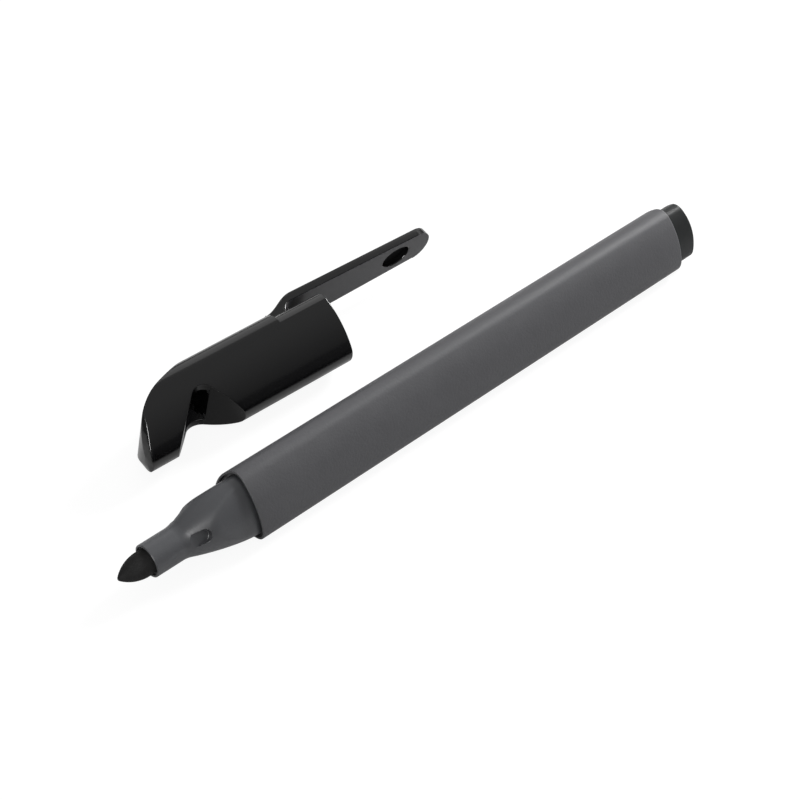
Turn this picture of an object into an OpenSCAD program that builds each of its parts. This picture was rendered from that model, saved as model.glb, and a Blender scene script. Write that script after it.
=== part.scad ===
// Three-sided permanent marker with its cap pulled off and lying beside it.
// The marker lies along X with its nib towards -X. Z = 0 is the desk, and the origin lies on the desk
// under the middle of the barrel. Each piece of the marker is drawn about the marker's axis, with x = 0
// at the shoulder where the nose leaves the barrel. Each piece of the cap is drawn about the cap's own
// axis, with x = 0 at its mouth and the clip on top, so that a seated cap shares the marker's positions.

/* [Barrel] */
// Distance from the axis to the centre of each rounded corner
corner_offset = 4.2; // [3.6:0.1:5.0]
// Radius of each rounded corner
corner_r = 2.6; // [2.2:0.1:3.4]
// Radius of each convex side
side_r = 13.5; // [11:0.5:18]
// Length of the barrel
barrel_len = 101.9; // [80:0.1:130]
// Wall of the barrel
barrel_wall = 0.9; // [0.7:0.05:1.2]
// Width of the step in the barrel's front rim
rim_step = 0.35; // [0.2:0.05:0.5]
// Depth of that step
rim_depth = 0.5; // [0.2:0.1:1]

/* [Nose] */
// Length of the nose in front of the barrel
nose_len = 18.1; // [16:0.1:22]
// Diameter of the tube that holds the nib
tube_d = 5.75; // [5:0.05:6.5]
// Length of the tube in front of the flare
tube_len = 6; // [5:0.1:8]
// How far the flare bulges beyond a straight cone
flare_bulge = 0.35; // [0.1:0.05:0.6]
// Length of the nose inside the barrel
spigot_len = 12; // [8:0.5:16]
// Radius of the hollow in the back of the nose
spigot_hollow_r = 3.1; // [2.6:0.1:3.4]
// Depth of the hollow in the back of the nose
spigot_hollow_depth = 9; // [4:0.5:12]
// Length of the moulded groove on each side of the flare
groove_len = 4; // [3:0.1:6]
// Width of the moulded groove
groove_w = 2.2; // [1.6:0.1:3]
// How far the groove's flat floor lies outside the tube
groove_rise = 0.2; // [0.1:0.05:0.4]
// Depth of the countersink round the nib
countersink_depth = 0.6; // [0.3:0.1:1]
// How much wider than the nib the countersink is, on each side
countersink_rim = 0.35; // [0.2:0.05:0.5]

/* [Nib] */
// Diameter of the nib
nib_d = 4.3; // [3.6:0.1:4.6]
// Length of the nib in front of the tube
nib_out = 5.4; // [4.5:0.1:7]
// Length of the curved point
point_len = 4.3; // [3.5:0.1:4.5]
// Radius of the flat end of the point
point_r = 0.35; // [0.2:0.05:0.6]
// Length of the nib's tail inside the ink reservoir
nib_tail = 6; // [4:0.5:10]

/* [Ink reservoir] */
// Thickness of the film round the fibre core
film_t = 0.2; // [0.1:0.05:0.4]
// Gap between the film and the barrel's sides
film_gap = 0.15; // [0.1:0.05:0.4]
// Gap at each end of the reservoir
reservoir_end_gap = 0.4; // [0.3:0.1:1]

/* [End plug] */
// Length of the plug behind the barrel
plug_out = 5.35; // [3:0.05:8]
// Length of the plug inside the barrel
plug_in = 9; // [6:0.5:14]
// Radius of the plug's domed end
plug_dome_r = 15; // [10:0.5:30]
// Radius of the hollow inside the plug
plug_hollow_r = 3.2; // [2.4:0.1:3.5]
// Depth of the hollow inside the plug
plug_hollow_depth = 8; // [4:0.5:9]

/* [Cap] */
// How far the cap stands proud of the barrel
cap_step = 0.6; // [0.4:0.05:1]
// Gap all round between the nose and the inside of the cap
cap_gap = 0.15; // [0.1:0.05:0.3]
// Wall at the front of the cap
front_wall = 1.1; // [0.8:0.1:1.5]
// Distance from the notch's centre to the tip of the beak
beak_reach = 13.1; // [12:0.1:15]
// Radius of the beak's tip, seen from the side
tip_r = 3.5; // [2.5:0.1:4]
// How far below the axis the centre of that curve lies
tip_drop = 5.9; // [4.5:0.1:6.5]
// Slope at which the tip runs into the bridge above it
tip_slope = 82; // [70:1:86]
// Radius of the beak's bridge
bridge_r = 8.6; // [6:0.1:10]
// Slope at which the bridge runs into the brow
bridge_slope = 43; // [36:1:48]
// Radius of the brow
brow_r = 15; // [12:0.5:20]
// Slope at which the brow runs into the straight crown
crown_slope = 20; // [14:1:26]
// Radius of the beak's tip, seen from above
beak_plan_r = 7.7; // [6:0.1:9]
// Distance from the liner's closed end to the centre of the notch's round top
notch_room = 4.2; // [4:0.1:6]
// How far below the axis that centre lies
notch_drop = 3.5; // [3.2:0.1:4.2]
// Radius of the notch's round top
notch_r = 2.4; // [1.8:0.1:2.8]
// Slope of the notch's side under the beak
notch_front_slope = 43; // [38:1:50]
// Slope of the notch's side towards the mouth
notch_rear_slope = 53; // [46:1:60]
// How far below the axis the hollow in the beak reaches
hollow_drop = 4.2; // [3.8:0.1:5]

/* [Cap liner] */
// Sliding clearance between the liner's bore and the tube, all round
seal_clearance = 0.03; // [0.01:0.01:0.05]
// Wall of the liner
liner_wall = 0.8; // [0.6:0.05:1]
// Gap between the nose and the liner's mouth when the cap is on
liner_gap = 0.4; // [0.3:0.1:0.8]
// Free space in front of the nib when the cap is on
nib_room = 0.8; // [0.5:0.1:1.2]
// Inner radius of the liner's closed end
liner_end_r = 1; // [0.8:0.1:1.2]
// Length of the collar that centres the liner in the cap
collar_len = 2; // [1:0.1:3]

/* [Clip] */
// Width of the clip at its round end
clip_w = 6.6; // [5:0.1:8]
// Width of the clip at its root
clip_root_w = 8.7; // [7:0.1:9]
// Thickness of the clip
clip_t = 1.6; // [1.3:0.05:1.9]
// How far the clip's underside lies above the crown of the cap's side
clip_lift = 0.15; // [0.05:0.05:0.6]
// How far the cap's side is let down under the clip
clip_room = 0.8; // [0.4:0.05:0.85]
// How far the clip reaches past the mouth
clip_reach = 29.2; // [20:0.1:36]
// Distance from the mouth to the front of the clip's root
clip_root_front = 10.1; // [9:0.1:13]
// Distance from the mouth to where the root's curve ends
clip_root_rear = 3; // [1:0.1:5]
// How far under the crown of the cap's side the root's curve starts
clip_root_sink = 0.45; // [0.2:0.05:0.5]
// Distance from the mouth to where the clip comes free of the cap
clip_free = 6.2; // [5:0.1:7]
// Radius of the curve from the cap's side into the clip's underside
clip_fillet = 2.4; // [1.8:0.1:2.8]
// Distance from the clip's end to the middle of its pocket
pocket_back = 8; // [5:0.1:12]
// Length of the pocket in the clip's underside
pocket_len = 6.2; // [4:0.1:8]
// Width of the pocket
pocket_w = 4.2; // [2:0.1:5]
// Depth of the pocket
pocket_depth = 0.9; // [0.4:0.05:1]

/* [Lying cap] */
// Distance along the marker from the nib's tip to the cap's mouth
mouth_from_tip = 60.9; // [40:0.1:90]
// Distance across the desk from the marker's axis to the cap's axis
cap_aside = 21.3; // [18:0.1:40]
// Turn of the cap on the desk
cap_yaw = -2; // [-3:0.1:3]
// Roll of the cap towards its clip, on its convex side
cap_roll = 16.7; // [10:0.1:18]

/* [Fits] */
// Gap all round between pieces that are pressed together
seat_gap = 0.03; // [0.01:0.01:0.05]

/* [Hidden] */
$fn = 96;

// The outline's side arcs run tangent into its corner arcs, side_half to each side of a side's middle
side_shift = sqrt(pow(side_r - corner_r, 2) - 0.75 * pow(corner_offset, 2)) - corner_offset / 2;
side_half = atan2(corner_offset * sqrt(3) / 2, corner_offset / 2 + side_shift);
side_step = side_half / 5;
side_dist = side_r - side_shift;
corner_dist = corner_offset + corner_r;

// How much larger or smaller than the barrel's outline each fitting outline is
bore_grow = -barrel_wall;
plug_grow = bore_grow - seat_gap;
nose_grow = bore_grow - seat_gap;
chamber_grow = nose_grow + cap_gap;
beak_wall = cap_step - chamber_grow;

tube_r = tube_d / 2;
nib_r = nib_d / 2;
tube_end = -nose_len;
flare_start = tube_end + tube_len;
nib_tip = tube_end - nib_out;
nib_back = spigot_len + reservoir_end_gap + nib_tail;
reservoir_start = spigot_len + reservoir_end_gap;
reservoir_len = barrel_len - plug_in - reservoir_end_gap - reservoir_start;
film_r = side_dist + bore_grow - film_gap;
core_r = film_r - film_t - seat_gap;
plug_end = barrel_len + plug_out;

// The liner fits the nose, and the notch and the beak follow the liner
liner_mouth = flare_start - liner_gap;
liner_bore_end = tube_end - liner_gap;
liner_bore_r = tube_r + seal_clearance;
liner_tip = nib_tip - nib_room;
chamber_face = side_dist + chamber_grow;
collar_r = chamber_face - seat_gap;

// Notch under the beak
notch_centre = [liner_tip - liner_wall - notch_room, -notch_drop];
notch_front_top = notch_centre + notch_r * [-sin(notch_front_slope), cos(notch_front_slope)];
notch_rear_top = notch_centre + notch_r * [sin(notch_rear_slope), cos(notch_rear_slope)];

// Tip, bridge and brow of the beak run tangent into each other, and the crown runs up to the clip's side
cap_len = beak_reach - notch_centre.x;
tip_centre = [tip_r - cap_len, -tip_drop];
bridge_centre = tip_centre - (bridge_r - tip_r) * [-sin(tip_slope), cos(tip_slope)];
brow_centre = bridge_centre - (brow_r - bridge_r) * [-sin(bridge_slope), cos(bridge_slope)];
crown_front = brow_centre + brow_r * [-sin(crown_slope), cos(crown_slope)];
cap_top = side_dist + cap_step;
crown_rear = [crown_front.x + (cap_top - crown_front.y) / tan(crown_slope), cap_top];

// Front wall of the cap's chamber, parallel to the notch's rear side
wall_step = front_wall * [sin(notch_rear_slope), cos(notch_rear_slope)];
chamber_bend = notch_rear_top + wall_step;

clip_under = cap_top + clip_lift;
clip_top = clip_under + clip_t;

cap_height = side_r + cap_step - side_shift * cos(cap_roll);
marker_shift = [-barrel_len / 2, 0, side_dist];
mouth_place = [marker_shift.x + nib_tip + mouth_from_tip, cap_aside, cap_height];

// Larger than any outline here, for cutting shapes
far = 2 * (corner_dist + side_r);

// Points along an arc, from one angle to another
function arc(centre, r, from, to, steps = 12) =
    [for (i = [0:steps]) let (angle = from + (to - from) * i / steps) centre + r * [cos(angle), sin(angle)]];

// All points but the first, which the arc before already ends on
function onward(points) = [for (i = [1:len(points) - 1]) points[i]];

// One corner and the side that follows it, turned to the given corner's angle
function corner_and_side(angle, grow) = concat(
    arc(corner_offset * [cos(angle), sin(angle)], corner_r + grow,
        angle - 60 + side_half, angle + 60 - side_half, 10),
    arc(-side_shift * [cos(angle + 60), sin(angle + 60)], side_r + grow,
        angle + 60 - side_half + side_step, angle + 60 + side_half - side_step, 8));

// The three-sided outline with one corner up, grown or shrunk evenly all round
module outline(grow = 0) {
    polygon([for (angle = [90, 210, 330]) each corner_and_side(angle, grow)]);
}

// A strip with two round ends, or one round end towards +X and a square one
module strip(from, to, width, round_start = true) {
    r = width / 2;
    polygon(concat(arc([to - r, 0], r, -90, 90),
                   round_start ? arc([from + r, 0], r, 90, 270) : [[from, r], [from, -r]]));
}

// Extrudes a cross-section along X from one position to another
module along_x(from, to) {
    translate([from, 0, 0]) rotate([90, 0, 90]) linear_extrude(to - from) children();
}

// Extrudes a side view drawn in X and Z to the given width across Y
module across_y(width) {
    translate([0, width / 2, 0]) rotate([90, 0, 0]) linear_extrude(width) children();
}

// A round rod along X, or a cone where the radii differ
module rod(from, to, r, end_r = undef) {
    translate([from, 0, 0]) rotate([0, 90, 0])
        cylinder(h = to - from, r1 = r, r2 = is_undef(end_r) ? r : end_r);
}

// A body turned about X from a profile of radius and position
module turned() {
    rotate([0, 90, 0]) mirror([1, 0, 0]) rotate_extrude() children();
}

// Puts a piece of the marker, drawn about its axis, in its place on the desk
module on_marker() {
    translate(marker_shift) children();
}

// Puts a piece of the cap, drawn about the cap's axis with the clip on top, in its place on the desk
module on_lying_cap() {
    translate(mouth_place) rotate([0, 0, cap_yaw]) rotate([-60 - cap_roll, 0, 0]) children();
}

module barrel() {
    color("#56585b") on_marker() difference() {
        along_x(0, barrel_len) outline();
        along_x(-1, barrel_len + 1) outline(bore_grow);
        along_x(-1, rim_depth) outline(bore_grow + rim_step);
    }
}

// Bulging flare from inside the tube to the corners at the shoulder, then wider than the nose
module flare_profile() {
    flare_end_r = corner_dist + nose_grow + seat_gap;
    chord = [flare_end_r - tube_r, -flare_start];
    chord_len = norm(chord);
    bulge_r = (pow(chord_len / 2, 2) + pow(flare_bulge, 2)) / (2 * flare_bulge);
    inward = [-chord.y, chord.x] / chord_len;
    bulge_centre = [tube_r, flare_start] + chord / 2 + (bulge_r - flare_bulge) * inward;
    half_turn = asin(chord_len / 2 / bulge_r);
    outward_angle = atan2(-inward.y, -inward.x);
    polygon(concat([[0, spigot_len + 1], [0, flare_start - 1], [tube_r / 2, flare_start - 1]],
                   arc(bulge_centre, bulge_r, outward_angle - half_turn, outward_angle + half_turn, 6),
                   [[far, 0], [far, spigot_len + 1]]));
}

// Round-ended groove that runs from the tube into the lower side of the flare
module flare_groove() {
    floor_depth = tube_r + groove_rise;
    translate([0, 0, -floor_depth - far]) linear_extrude(far)
        strip(flare_start, flare_start + groove_len, groove_w, false);
}

module nose() {
    nib_hole_r = nib_r + seat_gap;
    color("#606266") on_marker() difference() {
        union() {
            rod(tube_end, 0, tube_r);
            intersection() {
                turned() flare_profile();
                along_x(tube_end, spigot_len) outline(nose_grow);
            }
        }
        rod(tube_end - 1, spigot_len + 1, nib_hole_r);
        rod(tube_end - 1, tube_end + countersink_depth, nib_r + countersink_rim);
        rod(spigot_len - spigot_hollow_depth, spigot_len + 1, spigot_hollow_r);
        for (k = [0:2]) rotate([120 * k, 0, 0]) flare_groove();
    }
}

// Curved point that runs tangent into the nib's side, with a flat end
module nib() {
    taper = nib_r - point_r;
    ogive_r = (pow(point_len, 2) + pow(taper, 2)) / (2 * taper);
    color("#1c1c1e") on_marker() turned() {
        intersection() {
            translate([nib_r - ogive_r, nib_tip + point_len]) circle(ogive_r, $fn = 360);
            translate([0, nib_tip]) square([nib_r, point_len]);
        }
        translate([0, nib_tip + point_len]) square([nib_r, nib_back - nib_tip - point_len]);
    }
}

module ink_reservoir() {
    socket_r = nib_r + seat_gap;
    color("#2b2b30") on_marker() difference() {
        rod(reservoir_start, reservoir_start + reservoir_len, core_r);
        rod(reservoir_start - 1, nib_back + seat_gap, socket_r);
    }
}

module reservoir_film() {
    color("#d9dde0") on_marker() difference() {
        rod(reservoir_start, reservoir_start + reservoir_len, film_r);
        rod(reservoir_start - 1, reservoir_start + reservoir_len + 1, film_r - film_t);
    }
}

module end_plug() {
    plug_front = barrel_len - plug_in;
    color("#35383a") on_marker() difference() {
        intersection() {
            along_x(plug_front, plug_end) outline(plug_grow);
            translate([plug_end - plug_dome_r, 0, 0]) sphere(plug_dome_r);
        }
        rod(plug_front - 1, plug_front + plug_hollow_depth, plug_hollow_r);
    }
}

// Side view of the beak's front, from under its tip to the crown, or the same curve further in
function beak_curve(inset = 0) = concat(
    arc(tip_centre, tip_r - inset, 225, 90 + tip_slope, 8),
    onward(arc(bridge_centre, bridge_r - inset, 90 + tip_slope, 90 + bridge_slope, 6)),
    onward(arc(brow_centre, brow_r - inset, 90 + bridge_slope, 90 + crown_slope, 6)));

// Side view of the cap's outside: the beak's front and the crown, then full height to the mouth
module beak_outline() {
    polygon(concat([crown_rear, [crown_rear.x, far], [1, far], [1, -far], [tip_centre.x, -far]], beak_curve()));
}

// Plan of the cap's outside: a rounded prow at the tip, wider than the cap behind it
module beak_plan() {
    steps = 8;
    half = corner_dist + cap_step;
    polygon([for (i = [-steps:steps]) let (y = half * i / steps) [y * y / (2 * beak_plan_r) - cap_len, y],
             [1, half], [1, -half]]);
}

// Side view of the notch: a round top between two straight sides that run down past the cap's corner
module notch_outline() {
    front_run = (far + notch_front_top.y) / tan(notch_front_slope);
    rear_run = (far + notch_rear_top.y) / tan(notch_rear_slope);
    polygon(concat([[notch_front_top.x - front_run, -far], [notch_rear_top.x + rear_run, -far]],
                   arc(notch_centre, notch_r, 90 - notch_rear_slope, 90 + notch_front_slope)));
}

// Side view of the chamber that takes the nose, closed by a wall behind the notch
module chamber_outline() {
    wall_run = (far + chamber_bend.y) / tan(notch_rear_slope);
    polygon([[far, far], [chamber_bend.x, far], chamber_bend, [chamber_bend.x + wall_run, -far], [far, -far]]);
}

// Side view of the hollow inside the beak, which opens into the notch
module beak_hollow_outline() {
    front = beak_curve(beak_wall);
    crown_top = front[len(front) - 1] + far * [1, tan(crown_slope)];
    intersection() {
        polygon(concat([crown_top, [crown_top.x, -far], [tip_centre.x, -far]], front));
        translate([-cap_len, -hollow_drop]) square([cap_len + notch_rear_top.x, far]);
    }
}

// Side view of the clip: a curved root that rises out of the convex side and a straight strip
module clip_outline() {
    steps = 16;
    root_len = clip_root_front - clip_root_rear;
    foot = clip_under - clip_fillet;
    root_low = cap_top - clip_root_sink;
    polygon(concat([[-clip_root_front, foot]],
                   [for (i = [0:steps]) [-clip_root_front + root_len * i / steps,
                                         root_low + (clip_top - root_low) * (1 - cos(180 * i / steps)) / 2]],
                   [[clip_reach, clip_top], [clip_reach, clip_under]],
                   arc([clip_fillet - clip_free, foot], clip_fillet, 90, 180, 10)));
}

// Plan of the clip: it narrows from its root to its round end
module clip_plan() {
    r = clip_w / 2;
    polygon(concat([[-clip_root_front, clip_root_w / 2], [-clip_root_front, -clip_root_w / 2]],
                   arc([clip_reach - r, 0], r, -90, 90)));
}

// Oval pocket sunk into the clip's underside near its end
module clip_pocket() {
    steps = 24;
    translate([clip_reach - pocket_back, 0, clip_under + pocket_depth - clip_t]) linear_extrude(clip_t)
        polygon([for (i = [1:steps]) let (angle = 360 * i / steps) [pocket_len * cos(angle), pocket_w * sin(angle)] / 2]);
}

module clip() {
    difference() {
        intersection() {
            across_y(far) clip_outline();
            linear_extrude(far) clip_plan();
        }
        clip_pocket();
    }
}

// What lies above the cap's side where it is let down, from the clip's root to the mouth
module clip_clearance() {
    along_x(-clip_root_front, 1) difference() {
        translate([-far / 2, 0]) square([far, far]);
        translate([0, -clip_room]) rotate(180) outline(cap_step);
    }
}

module cap_shell() {
    color("#161718") on_lying_cap() difference() {
        union() {
            difference() {
                intersection() {
                    along_x(-cap_len, 0) rotate(180) outline(cap_step);
                    across_y(far) beak_outline();
                    translate([0, 0, -far / 2]) linear_extrude(far) beak_plan();
                }
                clip_clearance();
            }
            clip();
        }
        across_y(far) notch_outline();
        intersection() {
            along_x(-cap_len, 1) rotate(180) outline(chamber_grow);
            across_y(far) chamber_outline();
        }
        intersection() {
            along_x(-cap_len, 0) rotate(180) outline(chamber_grow);
            across_y(far) beak_hollow_outline();
        }
    }
}

module cap_liner() {
    shoulder = liner_bore_end - liner_wall;
    color("#4a4c4f") on_lying_cap() difference() {
        union() {
            rod(shoulder, liner_mouth, liner_bore_r + liner_wall);
            rod(liner_mouth - collar_len, liner_mouth, collar_r);
            rod(liner_tip - liner_wall, shoulder, liner_end_r + liner_wall, liner_bore_r + liner_wall);
        }
        rod(liner_bore_end, liner_mouth + 1, liner_bore_r);
        rod(liner_tip, liner_bore_end, liner_end_r, liner_bore_r);
    }
}

barrel();
nose();
nib();
ink_reservoir();
reservoir_film();
end_plug();
cap_shell();
cap_liner();
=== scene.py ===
"""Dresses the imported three-sided marker and its loose cap, and sets them on a white table."""

import math

import bmesh
import bpy
from bpy.props import FloatProperty, FloatVectorProperty, PointerProperty
from mathutils import Matrix, Vector


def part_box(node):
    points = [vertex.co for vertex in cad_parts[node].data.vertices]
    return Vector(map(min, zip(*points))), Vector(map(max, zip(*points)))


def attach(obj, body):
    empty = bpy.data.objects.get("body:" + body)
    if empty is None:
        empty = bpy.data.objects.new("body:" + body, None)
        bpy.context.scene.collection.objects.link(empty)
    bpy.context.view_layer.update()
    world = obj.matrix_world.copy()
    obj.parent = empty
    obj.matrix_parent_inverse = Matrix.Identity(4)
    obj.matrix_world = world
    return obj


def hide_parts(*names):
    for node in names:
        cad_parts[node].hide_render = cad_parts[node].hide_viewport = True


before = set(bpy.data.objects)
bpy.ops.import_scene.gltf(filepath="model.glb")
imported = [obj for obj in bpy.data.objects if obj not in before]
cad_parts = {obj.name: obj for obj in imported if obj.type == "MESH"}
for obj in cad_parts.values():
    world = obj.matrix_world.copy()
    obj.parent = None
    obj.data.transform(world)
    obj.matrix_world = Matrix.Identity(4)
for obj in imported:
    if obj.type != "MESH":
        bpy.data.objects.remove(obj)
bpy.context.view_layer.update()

bl_info = {
    "name": "Three-sided marker",
    "version": (1, 0, 0),
    "blender": (4, 5, 0),
    "location": "View3D > Sidebar > Marker",
    "description": "Dresses a three-sided marker and its loose cap on a white table",
    "category": "Object",
}

X_AXIS = Vector((1, 0, 0))
Y_AXIS = Vector((0, 1, 0))
Z_AXIS = Vector((0, 0, 1))

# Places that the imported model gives, in metres
BARREL_LOW, BARREL_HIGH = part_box("barrel")
NIB_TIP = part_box("nib")[0].x - BARREL_LOW.x
PLUG_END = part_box("end_plug")[1].x - BARREL_LOW.x
BARREL_LENGTH = BARREL_HIGH.x - BARREL_LOW.x

# Three-sided outline that the barrel, nose, plug and cap share
CORNER_OFFSET = 0.0042
CORNER_RADIUS = 0.0026
SIDE_RADIUS = 0.0135
SIDE_SHIFT = math.sqrt((SIDE_RADIUS - CORNER_RADIUS) ** 2 - 0.75 * CORNER_OFFSET**2) - CORNER_OFFSET / 2
SIDE_HALF = math.atan2(CORNER_OFFSET * math.sqrt(3) / 2, CORNER_OFFSET / 2 + SIDE_SHIFT)
SIDE_DISTANCE = SIDE_RADIUS - SIDE_SHIFT
CORNER_HALF = math.pi / 3 - SIDE_HALF
CORNER_ANGLES = [math.radians(angle) for angle in (90, 210, 330)]
OUTLINE_STEPS = 30

# How much smaller or larger than the barrel each fitting outline is
BARREL_WALL = 0.0009
RIM_STEP = 0.0005
RIM_DEPTH = 0.0008
RIM_EDGE = 0.00006
SEAT_GAP = 0.00003
NOSE_GROW = -BARREL_WALL - SEAT_GAP
CAP_STEP = 0.0006
CAP_GAP = 0.00015
CHAMBER_GROW = NOSE_GROW + CAP_GAP
BEAK_WALL = CAP_STEP - CHAMBER_GROW

# Nose, nib, plug and ink core, with x = 0 at the shoulder
TUBE_RADIUS = 0.002875
TUBE_LENGTH = 0.006
TUBE_END = -0.0181
TUBE_RIM = 0.00015
FLARE_START = TUBE_END + TUBE_LENGTH
FLARE_BULGE = 0.00035
FLARE_SPREAD = 0.0007
GROOVE_LENGTH = 0.004
GROOVE_END = FLARE_START + GROOVE_LENGTH
GROOVE_WIDTH = 0.0022
GROOVE_RISE = 0.0002
GROOVE_FLOOR = TUBE_RADIUS + GROOVE_RISE
COUNTERSINK_RIM = 0.00035
COUNTERSINK_DEPTH = 0.0006
COUNTERSINK_EDGE = 0.0001
NIB_RADIUS = 0.00215
NIB_TAIL = 0.006
POINT_LENGTH = 0.0043
POINT_RADIUS = 0.00035
POINT_DEPTH = 0.00012
POINT_BULGE = 0.0004
SPIGOT_LENGTH = 0.012
SPIGOT_HOLLOW_RADIUS = 0.0031
SPIGOT_HOLLOW_DEPTH = 0.009
PLUG_INSIDE = 0.009
PLUG_DOME_RADIUS = 0.015
PLUG_DOME_DEPTH = 0.004
PLUG_HOLLOW_RADIUS = 0.0032
PLUG_HOLLOW_DEPTH = 0.008
PLUG_HOLLOW_MIDDLE = 0.00001
RESERVOIR_GAP = 0.0004
RESERVOIR_START = SPIGOT_LENGTH + RESERVOIR_GAP
RESERVOIR_END = BARREL_LENGTH - (PLUG_INSIDE + RESERVOIR_GAP)
CORE_CHAMFER = 0.0003
FILM_GAP = 0.00015
FILM_RADIUS = SIDE_DISTANCE - BARREL_WALL - FILM_GAP
FILM_WALL = 0.0002

# How far tools that cut or keep a shape reach: past everything, and just past an end
FAR = 0.02
OVER = 0.001


def in_side_view(x, z):
    """A point of a side view, drawn beside the cap before it is swept across."""
    return Vector((x, -FAR, z))


def side_direction(angle):
    """A direction in a side view, from +X towards +Z."""
    return Vector((math.cos(angle), 0, math.sin(angle)))


# Cap, with x = 0 at its mouth, the clip on +Z and the beak towards -X
CAP_LENGTH = 0.0424
CAP_TOP = SIDE_DISTANCE + CAP_STEP
TIP_RADIUS = 0.0035
TIP_DROP = 0.0059
TIP_LOW = math.radians(225)
TIP_SLOPE = math.radians(82)
BRIDGE_RADIUS = 0.0086
BRIDGE_SLOPE = math.radians(43)
BROW_RADIUS = 0.015
CROWN_SLOPE = math.radians(20)
CROWN_ROUND = 0.02
CROWN_RUN = 0.006
CROWN_SPARE = 0.0002
TIP_CENTRE = in_side_view(TIP_RADIUS - CAP_LENGTH, -TIP_DROP)
BRIDGE_CENTRE = TIP_CENTRE - side_direction(math.pi / 2 + TIP_SLOPE) * (BRIDGE_RADIUS - TIP_RADIUS)
BROW_CENTRE = BRIDGE_CENTRE - side_direction(math.pi / 2 + BRIDGE_SLOPE) * (BROW_RADIUS - BRIDGE_RADIUS)
BEAK_PLAN_RADIUS = 0.0077
NOTCH_CENTRE = in_side_view(-0.0293, -0.0035)
NOTCH_RADIUS = 0.0024
NOTCH_FRONT_SLOPE = math.radians(43)
NOTCH_REAR_SLOPE = math.radians(53)
NOTCH_FRONT_TOP = NOTCH_CENTRE + side_direction(math.pi / 2 + NOTCH_FRONT_SLOPE) * NOTCH_RADIUS
NOTCH_REAR_TOP = NOTCH_CENTRE + side_direction(math.pi / 2 - NOTCH_REAR_SLOPE) * NOTCH_RADIUS
HOLLOW_LOW = -0.0042
FRONT_WALL = 0.0011
CLIP_END_WIDTH = 0.0066
CLIP_ROOT_WIDTH = 0.0087
CLIP_THICKNESS = 0.0016
CLIP_LIFT = 0.00015
CLIP_UNDER = CAP_TOP + CLIP_LIFT
CLIP_TOP = CLIP_UNDER + CLIP_THICKNESS
CLIP_ROOM = 0.0008
CLIP_REACH = 0.0292
CLIP_ROOT_FRONT = -0.0101
CLIP_ROOT_REAR = -0.003
CLIP_ROOT_SINK = 0.00045
CLIP_FREE = -0.0062
CLIP_FILLET = 0.0024
POCKET_BACK = 0.008
POCKET_MIDDLE = CLIP_REACH - POCKET_BACK
POCKET_LENGTH = 0.0062
POCKET_WIDTH = 0.0042
POCKET_DEPTH = 0.0009
# Roughness of the pocket's painted shade, which dulls its reflection so that the pocket looks dark
POCKET_ROUGHNESS = 0.8
CAVITY_FRONT = -0.034
CAVITY_REAR = -0.001
CAVITY_HEIGHT = -0.001
STEP_END_LENGTH = 0.0004
STEP_END_SIDE = 0.0063
GRID_SPACING = 0.0012

# How near a point of the cap has to be to count as on a surface
ON_NOTCH = 3e-6
ON_CLIP = 2e-5
ON_CLIP_EDGE = 0.0001
ON_CAVITY = 3e-5

# Seal inside the cap
SEAL_CLEARANCE = 0.00003
LINER_WALL = 0.0008
LINER_GAP = 0.0004
LINER_TIP_RADIUS = 0.001
LINER_EDGE = 0.00015
LINER_ROUGHNESS = 0.42
NIB_ROOM = 0.0008
COLLAR_LENGTH = 0.002

# Where the two bodies lie on the table
MARKER_PLACE = Matrix.Translation((BARREL_LOW.x, 0, SIDE_DISTANCE))
CAP_ROLL = math.radians(16.7)
CAP_YAW = math.radians(-2)
CAP_ASIDE = 0.0213
CAP_HEIGHT = SIDE_RADIUS + CAP_STEP - SIDE_SHIFT * math.cos(CAP_ROLL)
MOUTH_FROM_TIP = 0.0609
CAP_PLACE = (
    Matrix.Translation((BARREL_LOW.x + NIB_TIP + MOUTH_FROM_TIP, CAP_ASIDE, CAP_HEIGHT))
    @ Matrix.Rotation(CAP_YAW, 4, "Z")
    @ Matrix.Rotation(-math.pi / 3 - CAP_ROLL, 4, "X")
)

# Stage: width, height and place of each lamp, and fixed values of the table, sky and camera
KEY_LAMP = (0.2, 0.2, Vector((0.6, 0.0, 0.4)))
BACK_LAMP = (0.8, 0.8, Vector((0.6, 0.6, 0.5)))
GLINT_LAMP = (0.2, 0.5, Vector((-0.54, -0.44, 0.56)))
WHITE = (1, 1, 1, 1)
TABLE_FAINT = (0.15, 0.15, 0.15, 1)
SKY_TOP = 0.85
SENSOR_WIDTH = 36


def srgb(red, green, blue):
    """A colour written in picture values from 0 to 255, as the shader's linear numbers."""

    def linear(value):
        share = value / 255
        return share / 12.92 if share <= 0.04045 else ((share + 0.055) / 1.055) ** 2.4

    return (linear(red), linear(green), linear(blue))


def colour(name, description, default):
    """A colour property with the given picture values."""
    return FloatVectorProperty(
        name=name, description=description, default=srgb(*default), subtype="COLOR", min=0, max=1
    )


def length(name, description, default):
    """A length property in metres."""
    return FloatProperty(name=name, description=description, default=default, unit="LENGTH", precision=5)


def power(name, description, default):
    """A lamp's power in watts."""
    return FloatProperty(name=name, description=description, default=default, unit="POWER")


def share(name, description, default):
    """A property from 0 to 1."""
    return FloatProperty(name=name, description=description, default=default, subtype="FACTOR", min=0, max=1)


class MarkerSizes(bpy.types.PropertyGroup):
    """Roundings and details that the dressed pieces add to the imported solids."""

    barrel_front_round: length("Barrel front edge", "Rounding of the barrel's front edge", 0.00012)
    barrel_rear_round: length("Barrel rear edge", "Rounding of the barrel's rear edge", 0.0006)
    nose_blend: length("Nose blend", "Softness of the ridges between the flare and the three sides", 0.0003)
    groove_edge: length("Groove edges", "Rounding of the grooves' rims on the flare", 0.00008)
    plug_round: length("Plug edge", "Rounding between the plug's sides and its domed end", 0.0005)
    cap_round: length("Cap edges", "Rounding of the cap's outer edges", 0.00018)
    cut_round: length("Cut edges", "Rounding of the edges round the notch and the mouth", 0.00006)


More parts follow.
